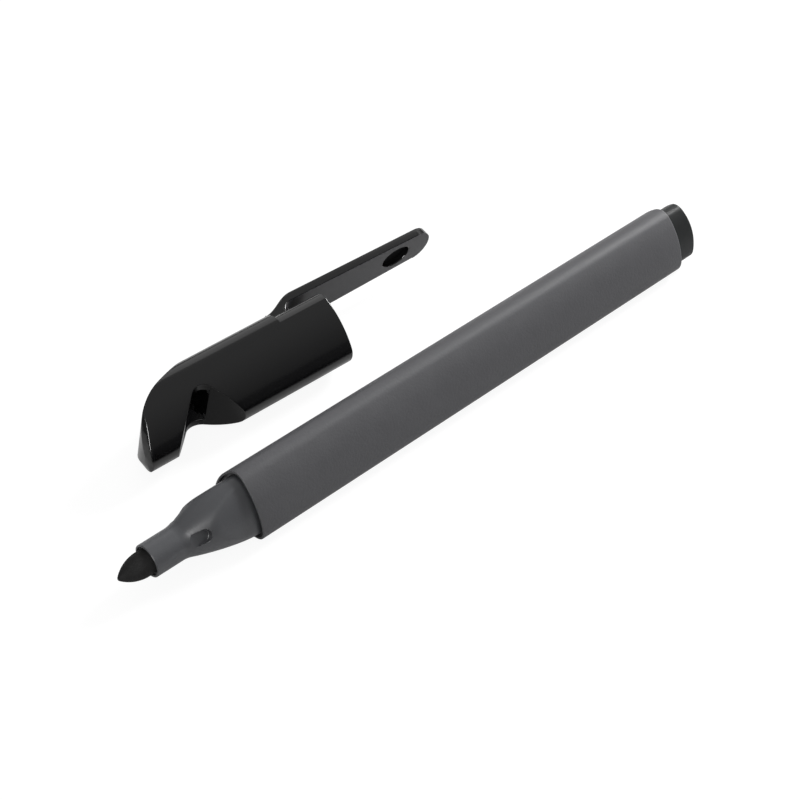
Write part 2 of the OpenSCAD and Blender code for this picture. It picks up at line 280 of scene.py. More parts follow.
class MarkerFinishes(bpy.types.PropertyGroup):
    """Colours and gloss of the moulded pieces, the felt and the ink core."""

    barrel_colour: colour("Barrel", "Matt grey of the barrel", (81, 81, 84))
    barrel_roughness: share("Barrel roughness", "Mean roughness of the barrel", 0.55)
    nose_colour: colour("Nose", "Satin grey of the nose", (82, 83, 86))
    nose_roughness: share("Nose roughness", "Mean roughness of the nose", 0.36)
    nib_colour: colour("Nib", "Inked felt of the nib", (9, 8, 8))
    plug_colour: colour("End plug", "Charcoal of the end plug", (26, 28, 29))
    plug_roughness: share("Plug roughness", "Mean roughness of the end plug", 0.46)
    cap_colour: colour("Cap", "Black of the cap and its clip", (9, 9, 10))
    cap_roughness: share("Cap roughness", "Mean roughness of the cap", 0.15)
    # Painted light: the clip's underside is the cap's own black moulding, made grey here to stand for the
    # table's light reflected in it.
    clip_painted_light: colour("Clip underside", "Satin black of the clip's underside", (84, 84, 86))
    # Painted light: the walls inside the cap are the same black moulding, made grey here to stand for light
    # that reaches into the cap.
    cavity_painted_light: colour("Cap inside", "Satin black of the walls inside the cap", (62, 62, 64))
    satin_roughness: share("Satin roughness", "Mean roughness under the clip and inside the cap", 0.5)
    liner_colour: colour("Cap liner", "Grey of the seal inside the cap", (74, 76, 79))
    fibre_colour: colour("Ink core", "Inked fibre of the reservoir", (38, 38, 44))
    film_colour: colour("Core film", "Film wrapped round the ink core", (205, 209, 212))


class StageSettings(bpy.types.PropertyGroup):
    """Table, light and camera."""

    table_colour: colour("Table", "Pale grey of the table in its own light", (205, 205, 205))
    table_width: length("Table width", "Width of the square table top", 6.0)
    table_glow: share("Table glow", "How white the camera sees the table before any light", 0.92)
    table_mirror: share("Table in gloss", "How white glossy pieces see the table before any light", 0.25)
    key_power: power("Key power", "Power of the softbox above the plug end", 5.0)
    back_power: power("Back power", "Power of the large softbox behind the object", 1.5)
    glint_power: power("Glint power", "Power of the narrow lamp by the camera that shows in gloss", 9.0)
    sky_low: share("Low sky", "Brightness of the surroundings near the table", 0.12)
    sky_high: share("High sky", "Brightness of the surroundings overhead", 0.5)
    lens: FloatProperty(
        name="Lens",
        description="Focal length on a 36 mm sensor, in millimetres",
        default=78.4325,
        subtype="DISTANCE_CAMERA",
    )
    roll: FloatProperty(
        name="Camera roll",
        description="Lean of the camera about its view",
        default=math.radians(2.408),
        subtype="ANGLE",
    )
    camera_place: FloatVectorProperty(
        name="Camera place",
        description="Where the camera stands",
        default=(-0.164807, -0.14982, 0.20962),
        subtype="TRANSLATION",
    )
    camera_view: FloatVectorProperty(
        name="Camera view",
        description="Direction in which the camera looks",
        default=(0.50737, 0.51031, -0.69438),
        subtype="DIRECTION",
    )


class Wire:
    """A socket of a material, so that shader maths reads as plain expressions."""

    def __init__(self, finish, socket):
        self.finish = finish
        self.socket = socket

    def maths(self, operation, first, second):
        """The result of one operation on two sockets or numbers."""
        return self.finish.node("ShaderNodeMath", {"operation": operation}, {0: first, 1: second})

    def __add__(self, other):
        return self.maths("ADD", self, other)

    def __sub__(self, other):
        return self.maths("SUBTRACT", self, other)

    def __rsub__(self, other):
        return self.maths("SUBTRACT", other, self)

    def __mul__(self, other):
        return self.maths("MULTIPLY", self, other)

    __radd__ = __add__
    __rmul__ = __mul__

    def out(self, name):
        """Another output of the same node."""
        return Wire(self.finish, self.socket.node.outputs[name])


class Finish:
    """A procedural material, or the world, being put together from nodes."""

    def __init__(self, owner):
        owner.use_nodes = True
        self.owner = owner
        self.tree = owner.node_tree
        self.tree.nodes.clear()

    def node(self, kind, settings=None, sockets=None):
        """Adds a node, sets it up, feeds its sockets and gives its first output."""
        made = self.tree.nodes.new(kind)
        for name, value in (settings or {}).items():
            if name == "stops":
                ramp = made.color_ramp.elements
                while len(ramp) < len(value):
                    ramp.new(1)
                for element, (position, shade) in zip(ramp, value):
                    element.position = position
                    element.color = (shade, shade, shade, 1)
            else:
                setattr(made, name, value)
        for name, value in (sockets or {}).items():
            if isinstance(value, Wire):
                self.tree.links.new(value.socket, made.inputs[name])
            else:
                made.inputs[name].default_value = value
        return Wire(self, made.outputs[0]) if made.outputs else None

    def object_place(self, scale=(1, 1, 1)):
        """Object coordinates, stretched along the axes."""
        place = self.node("ShaderNodeTexCoord").out("Object")
        return self.node("ShaderNodeMapping", None, {"Vector": place, "Scale": scale})

    def noise(self, place, scale, detail=2.0, roughness=0.5):
        """A cloud of values round one half."""
        sockets = {"Vector": place, "Scale": scale, "Detail": detail, "Roughness": roughness}
        return self.node("ShaderNodeTexNoise", None, sockets)

    def blend(self, factor, first, second):
        """A colour between two colours."""
        mixed = self.node("ShaderNodeMix", {"data_type": "RGBA"}, {0: factor, 6: first, 7: second})
        return Wire(self, mixed.socket.node.outputs[2])

    def bump(self, height, distance):
        """A normal from a height, in metres."""
        return self.node("ShaderNodeBump", None, {"Height": height, "Distance": distance, "Strength": 1.0})

    def surface(self, sockets):
        """Closes the material with one plastic shader."""
        shader = self.node("ShaderNodeBsdfPrincipled", None, sockets)
        self.node("ShaderNodeOutputMaterial", None, {"Surface": shader})
        return self.owner


def tint(base, factor):
    """A colour made lighter or darker by a factor, as a four-part socket value."""
    return tuple(min(1.0, part * factor) for part in base) + (1.0,)


def moulded_plastic(
    name, base, roughness, grain, grain_depth, mottle, gloss_spread, specular=0.5, clouds=160
):
    """Injection-moulded plastic: fine surface grain, cloudy tone and uneven gloss."""
    finish = Finish(bpy.data.materials.new(name))
    place = finish.object_place()
    cloud = finish.noise(place, clouds, 3)
    fine = finish.noise(place, grain, 3, 0.6)
    tone = cloud * 0.6 + fine * 0.4
    sockets = {
        "Base Color": finish.blend(tone, tint(base, 1 - mottle), tint(base, 1 + mottle)),
        "Roughness": fine * gloss_spread + cloud * gloss_spread + (roughness - gloss_spread),
        "Normal": finish.bump(fine, grain_depth),
        "Specular IOR Level": specular,
    }
    return finish.surface(sockets)


def felt(name, base):
    """Inked felt: fibres drawn along the nib, dull and slightly uneven."""
    finish = Finish(bpy.data.materials.new(name))
    fibres = finish.noise(finish.object_place((0.18, 1, 1)), 5200, 4, 0.65)
    wet = finish.noise(finish.object_place(), 700, 2)
    return finish.surface(
        {
            "Base Color": finish.blend(fibres * 0.7 + wet * 0.3, tint(base, 0.55), tint(base, 1.5)),
            "Roughness": wet * 0.25 + 0.62,
            "Normal": finish.bump(fibres, 0.00012),
            "Specular IOR Level": 0.25,
        }
    )


def wrapped_film(name, base):
    """Thin clear film, pale where it wrinkles round the core."""
    finish = Finish(bpy.data.materials.new(name))
    wrinkles = finish.noise(finish.object_place((0.3, 1, 1)), 420, 3)
    return finish.surface(
        {
            "Base Color": finish.blend(wrinkles, tint(base, 0.8), tint(base, 1.05)),
            "Roughness": wrinkles * 0.2 + 0.15,
            "Normal": finish.bump(wrinkles, 0.00008),
        }
    )


def new_object(name, mesh):
    """Links a mesh to the scene as an object at the origin."""
    made = bpy.data.objects.new(name, mesh)
    bpy.context.scene.collection.objects.link(made)
    return made


def finished_mesh(bm, name, place=None, sharp=math.radians(40)):
    """Closes a bmesh: doubles merged, faces outwards, put in place, smooth but for its sharp edges."""
    bmesh.ops.remove_doubles(bm, verts=bm.verts, dist=1e-7)
    bmesh.ops.recalc_face_normals(bm, faces=bm.faces)
    for edge in bm.edges:
        edge.smooth = len(edge.link_faces) != 2 or edge.calc_face_angle() < sharp
    if place is not None:
        bmesh.ops.transform(bm, matrix=place, verts=bm.verts)
    for face in bm.faces:
        face.smooth = True
    mesh = bpy.data.meshes.new(name)
    bm.to_mesh(mesh)
    bm.free()
    return mesh


def add_piece(name, mesh, material, body, slot, *nodes):
    """Makes a finished piece that rides on a body and stands for CAD nodes."""
    piece = new_object(name, mesh)
    mesh.materials.append(material)
    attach(piece, body)
    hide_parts(*nodes)
    return piece


class Pen:
    """Draws a wire from lines and arcs, in the plane of its points."""

    def __init__(self, bm, start):
        self.bm = bm
        self.tip = bmesh.ops.create_vert(bm, co=start)["vert"][0]

    def line(self, to):
        """Goes straight to a point."""
        made = bmesh.ops.extrude_vert_indiv(self.bm, verts=[self.tip])
        self.tip = made["verts"][0]
        self.tip.co = to
        return self

    def arc(self, centre, axis, angle, steps):
        """Goes round a centre by an angle."""
        made = bmesh.ops.spin(self.bm, geom=[self.tip], cent=centre, axis=axis, angle=angle, steps=steps)
        self.tip = next(item for item in made["geom_last"] if isinstance(item, bmesh.types.BMVert))
        return self


def prism(draw, sweep):
    """A solid swept from the closed wire that draw makes."""
    bm = bmesh.new()
    draw(bm)
    bmesh.ops.remove_doubles(bm, verts=bm.verts, dist=1e-7)
    bmesh.ops.contextual_create(bm, geom=bm.edges[:])
    swept = bmesh.ops.extrude_face_region(bm, geom=bm.faces[:])
    verts = [item for item in swept["geom"] if isinstance(item, bmesh.types.BMVert)]
    bmesh.ops.translate(bm, vec=sweep, verts=verts)
    return finished_mesh(bm, "prism")


def outline_direction(angle):
    """The direction across the marker at an angle."""
    return Vector((0, math.cos(angle), math.sin(angle)))


def draw_outline(bm, x, grow, turn, drop):
    """Draws the three-sided outline at x, grown evenly, turned about the axis and let down."""
    place = X_AXIS * x - Z_AXIS * drop
    first = CORNER_ANGLES[0] + turn
    out = outline_direction(first - CORNER_HALF) * (CORNER_RADIUS + grow)
    start = outline_direction(first) * CORNER_OFFSET + out
    pen = Pen(bm, place + start)
    for corner in CORNER_ANGLES:
        centre = place + outline_direction(corner + turn) * CORNER_OFFSET
        pen.arc(centre, X_AXIS, 2 * CORNER_HALF, OUTLINE_STEPS)
        side = corner + turn + math.pi / 3
        pen.arc(place - outline_direction(side) * SIDE_SHIFT, X_AXIS, 2 * SIDE_HALF, OUTLINE_STEPS)


def outline_prism(start, end, grow, turn, drop=0.0):
    """A solid with the three-sided outline between two places along the axis."""
    return prism(lambda bm: draw_outline(bm, start, grow, turn, drop), X_AXIS * (end - start))


def outline_reach(angle, grow):
    """Distance from the axis to the three-sided outline in a direction."""
    from_corner = abs((angle - CORNER_ANGLES[0] + math.pi / 3) % (2 * math.pi / 3) - math.pi / 3)
    radius = CORNER_RADIUS + grow
    meet_out = CORNER_OFFSET + radius * math.cos(CORNER_HALF)
    if from_corner <= math.atan2(radius * math.sin(CORNER_HALF), meet_out):
        across = CORNER_OFFSET * math.sin(from_corner)
        return CORNER_OFFSET * math.cos(from_corner) + math.sqrt(radius**2 - across**2)
    from_side = math.pi / 3 - from_corner
    across = SIDE_SHIFT * math.sin(from_side)
    return math.sqrt((SIDE_RADIUS + grow) ** 2 - across**2) - SIDE_SHIFT * math.cos(from_side)


def smooth_least(first, second, softness):
    """The lesser of two lengths, with a soft change from one to the other."""
    near = max(softness - abs(first - second), 0) / softness
    return min(first, second) - near * near * softness / 4


def lofted(stations, reach, segments):
    """A tube through rings along the axis: a circle extruded from ring to ring, drawn out to its reach."""
    bm = bmesh.new()
    bmesh.ops.create_circle(bm, segments=segments, radius=1)
    bmesh.ops.rotate(bm, cent=(0, 0, 0), matrix=Matrix.Rotation(math.pi / 2, 3, "Y"), verts=bm.verts)
    loop, edges = bm.verts[:], bm.edges[:]
    for number, station in enumerate(stations):
        if number:
            made = bmesh.ops.extrude_edge_only(bm, edges=edges)["geom"]
            loop = [item for item in made if isinstance(item, bmesh.types.BMVert)]
            ring = set(loop)
            new_edges = [item for item in made if isinstance(item, bmesh.types.BMEdge)]
            edges = [edge for edge in new_edges if all(vert in ring for vert in edge.verts)]
        for vert in loop:
            angle = math.atan2(vert.co.z, vert.co.y)
            vert.co = X_AXIS * station[0] + outline_direction(angle) * reach(angle, *station)
    return bm


def boolean(base, *steps):
    """Joins, keeps or cuts solids one after another and gives the mesh that is left."""
    work = new_object("work", base)
    tools = []
    for operation, mesh in steps:
        tool = new_object("tool", mesh)
        tools.append(tool)
        change = work.modifiers.new(operation, "BOOLEAN")
        change.operation = operation
        change.object = tool
        change.solver = "EXACT"
    evaluated = work.evaluated_get(bpy.context.evaluated_depsgraph_get())
    mesh = bpy.data.meshes.new_from_object(evaluated)
    for made in (work, *tools):
        used = made.data
        bpy.data.objects.remove(made)
        bpy.data.meshes.remove(used)
    return mesh


def spun(draw, place):
    """A round solid turned about the axis from a wire drawn on +Y."""
    bm = bmesh.new()
    draw(bm)
    bmesh.ops.spin(
        bm,
        geom=bm.verts[:] + bm.edges[:],
        cent=(0, 0, 0),
        axis=X_AXIS,
        angle=2 * math.pi,
        steps=96,
        use_merge=True,
    )
    return finished_mesh(bm, "spun", place)


def spun_through(points, place):
    """A round solid from straight lines through points, given along and out from the axis."""

    def draw(bm):
        pen = Pen(bm, Vector((*points[0], 0)))
        for point in points[1:]:
            pen.line(Vector((*point, 0)))

    return spun(draw, place)


class MARKER_OT_barrel(bpy.types.Operator):
    """Builds the three-sided barrel tube with its rounded rear edge."""

    bl_idname = "marker.barrel"
    bl_label = "Barrel"

    def execute(self, context):
        sizes, looks = context.scene.marker_sizes, context.scene.marker_finishes
        front, rear = sizes.barrel_front_round, sizes.barrel_rear_round
        inner = RIM_STEP - BARREL_WALL
        stations = [(RIM_DEPTH, -BARREL_WALL), (RIM_DEPTH, inner), (RIM_EDGE, inner), (0, inner + RIM_EDGE)]
        steps, rings = 6, 20
        for step in range(steps + 1):
            turn = math.pi / 2 * step / steps
            stations.append((front * (1 - math.cos(turn)), -front * (1 - math.sin(turn))))
        for step in range(1, rings):
            stations.append((front + (BARREL_LENGTH - front - rear) * step / rings, 0))
        for step in range(steps * 2 + 1):
            turn = math.pi / 2 * step / (steps * 2)
            stations.append((BARREL_LENGTH - rear * (1 - math.sin(turn)), -rear * (1 - math.cos(turn))))
        stations.append((BARREL_LENGTH, -BARREL_WALL))
        bm = lofted(stations, lambda angle, x, grow: outline_reach(angle, grow), segments=240)
        bmesh.ops.bridge_loops(bm, edges=[edge for edge in bm.edges if edge.is_boundary])
        mesh = finished_mesh(bm, "barrel_tube", MARKER_PLACE)
        plastic = moulded_plastic(
            "barrel_grain",
            looks.barrel_colour,
            looks.barrel_roughness,
            grain=2200,
            grain_depth=0.00004,
            mottle=0.12,
            gloss_spread=0.15,
            clouds=360,
        )
        add_piece("barrel_tube", mesh, plastic, "marker", "barrel_grey", "barrel")
        return {"FINISHED"}


class MARKER_OT_nose(bpy.types.Operator):
    """Builds the nose: nib tube, flare, three grooves and the spigot in the barrel."""

    bl_idname = "marker.nose"
    bl_label = "Nose"

    def execute(self, context):
        sizes, looks = context.scene.marker_sizes, context.scene.marker_finishes
        flare_end = CORNER_OFFSET + CORNER_RADIUS + NOSE_GROW + SEAT_GAP

        def flare(x):
            along = min(max((x - FLARE_START) / -FLARE_START, 0), 1)
            straight = TUBE_RADIUS + (flare_end - TUBE_RADIUS) * along
            return straight + 4 * FLARE_BULGE * along * (1 - along)

        def soft_flare(x):
            return sum(flare(x + FLARE_SPREAD * offset / 4) for offset in range(-4, 5)) / 9

        def reach(angle, x, inner):
            return inner or smooth_least(soft_flare(x), outline_reach(angle, NOSE_GROW), sizes.nose_blend)

        hole = NIB_RADIUS + SEAT_GAP
        sink = NIB_RADIUS + COUNTERSINK_RIM
        hollow_end = SPIGOT_LENGTH - SPIGOT_HOLLOW_DEPTH
        stations = [
            (hollow_end, hole),
            (TUBE_END + COUNTERSINK_DEPTH, hole),
            (TUBE_END + COUNTERSINK_DEPTH, sink),
            (TUBE_END + COUNTERSINK_EDGE, sink),
            (TUBE_END, sink + COUNTERSINK_EDGE),
            (TUBE_END, TUBE_RADIUS - TUBE_RIM),
        ]
        steps, rings = 6, 150
        for step in range(1, steps + 1):
            turn = math.pi / 2 * step / steps
            back = TUBE_RIM * (1 - math.cos(turn))
            stations.append((TUBE_END + back, TUBE_RADIUS - TUBE_RIM * (1 - math.sin(turn))))
        for step in range(1, rings + 1):
            stations.append((TUBE_END + TUBE_RIM + (-TUBE_END - TUBE_RIM) * step / rings, 0))
        stations.append((SPIGOT_LENGTH, 0))
        stations += [(x, SPIGOT_HOLLOW_RADIUS) for x in (SPIGOT_LENGTH, hollow_end)]
        bm = lofted(stations, reach, segments=288)
        bmesh.ops.bridge_loops(bm, edges=[edge for edge in bm.edges if edge.is_boundary])
        grooves = [("DIFFERENCE", self.groove(turn)) for turn in (0, 120, 240)]
        cut = boolean(finished_mesh(bm, "nose_body"), *grooves)
        bm = bmesh.new()
        bm.from_mesh(cut)
        bpy.data.meshes.remove(cut)
        mesh = finished_mesh(bm, "nose_cone", MARKER_PLACE)
        plastic = moulded_plastic(
            "nose_satin",
            looks.nose_colour,
            looks.nose_roughness,
            grain=2600,
            grain_depth=0.000012,
            mottle=0.04,
            gloss_spread=0.05,
        )
        piece = add_piece("nose_cone", mesh, plastic, "marker", "nose_grey", "nose")
        round_edges(piece, sizes.groove_edge, angle=30, segments=2)
        return {"FINISHED"}

    def groove(self, turn):
        """Flat-floored groove from the tube into one side of the flare, round at its rear."""
        radius = GROOVE_WIDTH / 2

        def draw(bm):
            pen = Pen(bm, Vector((FLARE_START, -radius, -GROOVE_FLOOR)))
            pen.line(Vector((GROOVE_END - radius, -radius, -GROOVE_FLOOR)))
            pen.arc(Vector((GROOVE_END - radius, 0, -GROOVE_FLOOR)), Z_AXIS, math.pi, 36)
            pen.line(Vector((FLARE_START, radius, -GROOVE_FLOOR)))
            pen.line(Vector((FLARE_START, -radius, -GROOVE_FLOOR)))

        mesh = prism(draw, -Z_AXIS * FAR)
        mesh.transform(Matrix.Rotation(math.radians(turn), 4, "X"))
        return mesh


class MARKER_OT_nib(bpy.types.Operator):
    """Builds the felt nib with its curved, blunt point."""

    bl_idname = "marker.nib"
    bl_label = "Nib"

    def execute(self, context):
        looks = context.scene.marker_finishes
        shoulder = Vector((NIB_TIP + POINT_LENGTH, NIB_RADIUS, 0))
        back = RESERVOIR_START + NIB_TAIL
        point = Vector((NIB_TIP + POINT_DEPTH, POINT_RADIUS, 0))
        chord = shoulder - point
        radius = (chord.length**2 / 4 + POINT_BULGE**2) / (2 * POINT_BULGE)
        inward = Vector((chord.y, -chord.x, 0)).normalized()
        centre = point + chord / 2 + inward * (radius - POINT_BULGE)

        def draw(bm):
            pen = Pen(bm, Vector((NIB_TIP, 0, 0)))
            pen.line(Vector((NIB_TIP, POINT_RADIUS / 2, 0)))
            pen.line(point)
            pen.arc(centre, Z_AXIS, -2 * math.asin(chord.length / 2 / radius), 32)
            pen.line(Vector((back, NIB_RADIUS, 0)))
            pen.line(Vector((back, 0, 0)))

        mesh = spun(draw, MARKER_PLACE)
        add_piece("felt_nib", mesh, felt("nib_felt", looks.nib_colour), "marker", "nib_felt", "nib")
        return {"FINISHED"}


class MARKER_OT_ink_core(bpy.types.Operator):
    """Builds the fibre core and its film inside the barrel."""

    bl_idname = "marker.ink_core"
    bl_label = "Ink core"

    def execute(self, context):
        looks = context.scene.marker_finishes
        core = FILM_RADIUS - FILM_WALL - SEAT_GAP
        socket = NIB_RADIUS + SEAT_GAP
        deep = RESERVOIR_START + NIB_TAIL + SEAT_GAP
        core_points = (
            (deep, 0),
            (deep, socket),
            (RESERVOIR_START, socket),
            (RESERVOIR_START, core - CORE_CHAMFER),
            (RESERVOIR_START + CORE_CHAMFER, core),
            (RESERVOIR_END - CORE_CHAMFER, core),
            (RESERVOIR_END, core - CORE_CHAMFER),
            (RESERVOIR_END, 0),
        )
        inner = FILM_RADIUS - FILM_WALL
        film_points = (
            (RESERVOIR_START, inner),
            (RESERVOIR_START, FILM_RADIUS),
            (RESERVOIR_END, FILM_RADIUS),
            (RESERVOIR_END, inner),
            (RESERVOIR_START, inner),
        )
        mesh = spun_through(core_points, MARKER_PLACE)
        fibre = felt("core_fibre", looks.fibre_colour)
        add_piece("fibre_core", mesh, fibre, "marker", "reservoir_fibre", "ink_reservoir")
        mesh = spun_through(film_points, MARKER_PLACE)
        film = wrapped_film("film_wrap", looks.film_colour)
        add_piece("core_film", mesh, film, "marker", "film_clear", "reservoir_film")
        return {"FINISHED"}


class MARKER_OT_end_plug(bpy.types.Operator):
    """Builds the domed plug that closes the barrel's rear."""

    bl_idname = "marker.end_plug"
    bl_label = "End plug"

    def execute(self, context):
        sizes, looks = context.scene.marker_sizes, context.scene.marker_finishes
        dome = PLUG_DOME_RADIUS
        front = BARREL_LENGTH - PLUG_INSIDE
        floor = front + PLUG_HOLLOW_DEPTH

        def reach(angle, x, inner):
            if inner:
                return inner
            ball = math.sqrt(max(dome**2 - (x - PLUG_END + dome) ** 2, 0))
            return smooth_least(outline_reach(angle, NOSE_GROW), ball, sizes.plug_round)

        stations = [
            (floor, PLUG_HOLLOW_MIDDLE),
            (floor, PLUG_HOLLOW_RADIUS),
            (front, PLUG_HOLLOW_RADIUS),
            (front, 0),
        ]
        side_rings, dome_rings = 12, 49
        for step in range(1, side_rings + 1):
            along = (PLUG_END - front - PLUG_DOME_DEPTH) * step / side_rings
            stations.append((front + along, 0))
        for step in range(1, dome_rings):
            turn = math.pi / 2 * step / dome_rings
            stations.append((PLUG_END - PLUG_DOME_DEPTH * (1 - math.sin(turn)), 0))
        bm = lofted(stations, reach, segments=240)
        bmesh.ops.holes_fill(bm, edges=[edge for edge in bm.edges if edge.is_boundary], sides=0)
        mesh = finished_mesh(bm, "rear_plug", MARKER_PLACE)
        plastic = moulded_plastic(
            "plug_satin",
            looks.plug_colour,
            looks.plug_roughness,
            grain=2600,
            grain_depth=0.000012,
            mottle=0.05,
            gloss_spread=0.05,
            specular=0.3,
        )
        add_piece("rear_plug", mesh, plastic, "marker", "plug_charcoal", "end_plug")
        return {"FINISHED"}


def round_edges(piece, width, angle, segments):
    """Rounds the edges of a finished piece that turn by more than an angle."""
    rounding = piece.modifiers.new("edges", "BEVEL")
    rounding.width = width
    rounding.segments = segments
    rounding.limit_method = "ANGLE"
    rounding.angle_limit = math.radians(angle)
    rounding.use_clamp_overlap = False
    shading = piece.modifiers.new("shading", "WEIGHTED_NORMAL")
    shading.keep_sharp = True


def side_view_prism(draw):
    """A solid drawn in side view and swept across the cap."""
    return prism(draw, Y_AXIS * 2 * FAR)


def draw_beak(bm):
    """Side view of the cap's outside: tip, bridge, brow, crown and full height to the mouth."""
    start = TIP_CENTRE + side_direction(TIP_LOW) * TIP_RADIUS
    pen = Pen(bm, start)
    pen.arc(TIP_CENTRE, Y_AXIS, TIP_LOW - math.pi / 2 - TIP_SLOPE, 24)
    pen.arc(BRIDGE_CENTRE, Y_AXIS, TIP_SLOPE - BRIDGE_SLOPE, 16)
    pen.arc(BROW_CENTRE, Y_AXIS, BRIDGE_SLOPE - CROWN_SLOPE, 16)
    crown = side_direction(CROWN_SLOPE)
    crown_rear = pen.tip.co + crown * ((CAP_TOP - pen.tip.co.z) / crown.z)
    soften(pen, crown_rear, crown, X_AXIS, CROWN_ROUND)
    above = CAP_TOP + CROWN_SPARE
    for x, z in (
        (crown_rear.x + CROWN_RUN, above),
        (OVER, above),
        (OVER, -FAR),
        (start.x, -FAR),
        (start.x, start.z),
    ):
        pen.line(in_side_view(x, z))


def soften(pen, corner, along, onward, radius):
    """Goes on to a corner of a side view and round it, from one direction into the next."""
    turn = along.angle(onward)
    tangent = radius * math.tan(turn / 2)
    inward = Vector((along.z, 0, -along.x))
    pen.line(corner - along * tangent)
    pen.arc(corner - along * tangent + inward * radius, Y_AXIS, turn, 8)


def draw_beak_plan(bm):
    """Plan of the cap's outside: a rounded prow at the tip."""
    half = CORNER_OFFSET + CORNER_RADIUS + CAP_STEP
    steps = 48
    pen = Pen(bm, Vector((OVER, -half, -FAR)))
    for step in range(steps + 1):
        y = half * (2 * step / steps - 1)
        pen.line(Vector((y * y / (2 * BEAK_PLAN_RADIUS) - CAP_LENGTH, y, -FAR)))
    pen.line(Vector((OVER, half, -FAR)))
    pen.line(Vector((OVER, -half, -FAR)))


def draw_notch(bm):
    """Side view of the notch: a round top between two straight sides."""
    front_x = NOTCH_FRONT_TOP.x - (FAR + NOTCH_FRONT_TOP.z) / math.tan(NOTCH_FRONT_SLOPE)
    rear_x = NOTCH_REAR_TOP.x + (FAR + NOTCH_REAR_TOP.z) / math.tan(NOTCH_REAR_SLOPE)
    pen = Pen(bm, in_side_view(front_x, -FAR))
    pen.line(NOTCH_FRONT_TOP)
    pen.arc(NOTCH_CENTRE, Y_AXIS, NOTCH_FRONT_SLOPE + NOTCH_REAR_SLOPE, 28)
    pen.line(in_side_view(rear_x, -FAR))
    pen.line(in_side_view(front_x, -FAR))


def draw_chamber(bm):
    """Side view of the chamber behind the notch, which takes the nose."""
    bend = NOTCH_REAR_TOP + side_direction(math.pi / 2 - NOTCH_REAR_SLOPE) * FRONT_WALL
    low_x = bend.x + (FAR + bend.z) / math.tan(NOTCH_REAR_SLOPE)
    pen = Pen(bm, in_side_view(FAR, FAR))
    for x, z in ((bend.x, FAR), (bend.x, bend.z), (low_x, -FAR), (FAR, -FAR), (FAR, FAR)):
        pen.line(in_side_view(x, z))


def draw_beak_hollow(bm):
    """Side view of the hollow inside the beak, which opens into the notch."""
    radius = BRIDGE_RADIUS - BEAK_WALL
    low = math.pi - math.asin((HOLLOW_LOW - BRIDGE_CENTRE.z) / radius)
    start = BRIDGE_CENTRE + side_direction(low) * radius
    pen = Pen(bm, start)
    pen.arc(BRIDGE_CENTRE, Y_AXIS, low - math.pi / 2 - BRIDGE_SLOPE, 16)
    pen.arc(BROW_CENTRE, Y_AXIS, BRIDGE_SLOPE - CROWN_SLOPE, 16)
    crown = side_direction(CROWN_SLOPE)
    pen.line(pen.tip.co + crown * ((NOTCH_REAR_TOP.x - pen.tip.co.x) / crown.x))
    pen.line(in_side_view(NOTCH_REAR_TOP.x, HOLLOW_LOW))
    pen.line(start)


def draw_clip(bm):
    """Side view of the clip: a curved root out of the cap's side, then a straight strip."""
    foot = CLIP_UNDER - CLIP_FILLET
    root_low = CAP_TOP - CLIP_ROOT_SINK
    steps = 24
    pen = Pen(bm, in_side_view(CLIP_ROOT_FRONT, foot))
    for step in range(steps + 1):
        x = CLIP_ROOT_FRONT + (CLIP_ROOT_REAR - CLIP_ROOT_FRONT) * step / steps
        z = root_low + (CLIP_TOP - root_low) * (1 - math.cos(math.pi * step / steps)) / 2
        pen.line(in_side_view(x, z))
    pen.line(in_side_view(CLIP_REACH, CLIP_TOP))
    pen.line(in_side_view(CLIP_REACH, CLIP_UNDER))
    pen.line(in_side_view(CLIP_FREE + CLIP_FILLET, CLIP_UNDER))
    pen.arc(in_side_view(CLIP_FREE + CLIP_FILLET, foot), Y_AXIS, -math.pi / 2, 16)
    pen.line(in_side_view(CLIP_ROOT_FRONT, foot))


def draw_clip_plan(bm):
    """Plan of the clip: it narrows from its root to its round end."""
    radius, root = CLIP_END_WIDTH / 2, CLIP_ROOT_WIDTH / 2
    pen = Pen(bm, Vector((CLIP_ROOT_FRONT, -root, 0)))
    pen.line(Vector((CLIP_REACH - radius, -radius, 0)))
    pen.arc(Vector((CLIP_REACH - radius, 0, 0)), Z_AXIS, math.pi, 40)
    pen.line(Vector((CLIP_ROOT_FRONT, root, 0)))
    pen.line(Vector((CLIP_ROOT_FRONT, -root, 0)))


def draw_pocket(bm):
    """Plan of the oval pocket in the clip's underside."""
    low = Vector((POCKET_MIDDLE, 0, CLIP_UNDER + POCKET_DEPTH - CLIP_THICKNESS))
    oval = Matrix.Translation(low) @ Matrix.Diagonal((POCKET_LENGTH / 2, POCKET_WIDTH / 2, 1, 1))
    bmesh.ops.create_circle(bm, segments=48, radius=1, matrix=oval)


def in_pocket(point):
    """Whether a point of the cap lies on the pocket's wall or floor, which takes the painted shade."""
    along, across = (point.x - POCKET_MIDDLE) * 2 / POCKET_LENGTH, point.y * 2 / POCKET_WIDTH
    low, high = 0.0002, POCKET_DEPTH + 0.0001
    return along**2 + across**2 < 1.02 and low < point.z - CLIP_UNDER < high


def under_clip(point):
    """Whether a point of the cap lies on the clip's underside or on the curve at its root, which takes the
    grey of painted light.
    """
    bend = Vector((point.x - CLIP_FREE - CLIP_FILLET, 0, point.z - CLIP_UNDER + CLIP_FILLET))
    if bend.x > 0:
        return abs(point.z - CLIP_UNDER) < ON_CLIP
    return bend.z > 0 and abs(bend.length - CLIP_FILLET) < ON_CLIP


def in_cavity(face):
    """Whether a face of the cap is on a wall of its chamber or of the beak's hollow, which takes the grey of
    painted light.
    """
    point = face.calc_center_median()
    middle = Vector((min(max(point.x, CAVITY_FRONT), CAVITY_REAR), 0, CAVITY_HEIGHT))
    limit = outline_reach(math.atan2(point.z, point.y) + math.pi, CHAMBER_GROW) + ON_CAVITY
    facing = face.normal.dot(middle - point) > 0
    return facing and math.hypot(point.y, point.z) < limit and not on_notch(point)


